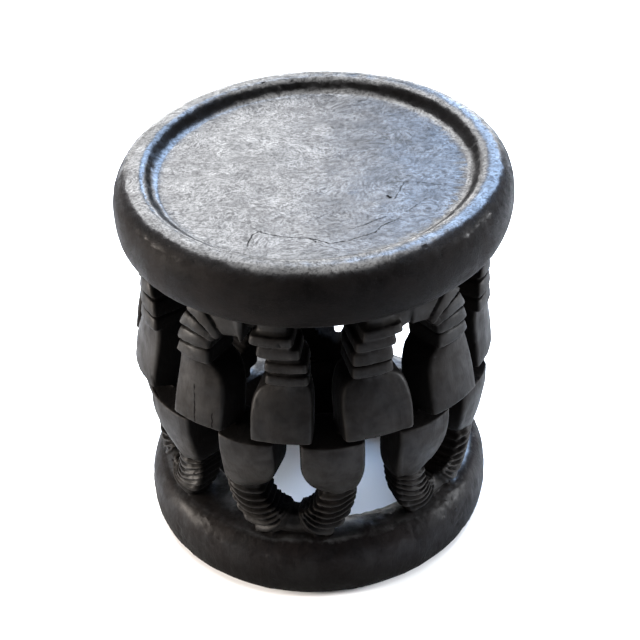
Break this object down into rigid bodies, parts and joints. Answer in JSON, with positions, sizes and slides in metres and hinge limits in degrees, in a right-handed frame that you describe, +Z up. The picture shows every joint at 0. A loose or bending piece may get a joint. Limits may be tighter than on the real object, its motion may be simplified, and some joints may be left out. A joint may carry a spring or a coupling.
{
  "type": "carved stool",
  "caption": "Round wooden stool carved in one piece: dished seat on a ring of paired bell forms with ringed necks, over a matching lower ring and an open ring base.",
  "frame": {"origin": "centre of the outer box on the floor, at the middle of the underside", "axes": "+Z up from the floor, -Y the side seen in the picture, +X to the right of it"},
  "size_m": [0.4004, 0.3996, 0.4204],
  "materials": {
    "wood": "near-black waxed carved wood, satin, shinier on the seat"
  },
  "bodies": {
    "root": {"stool": "wood"}
  },
  "joints": []
}
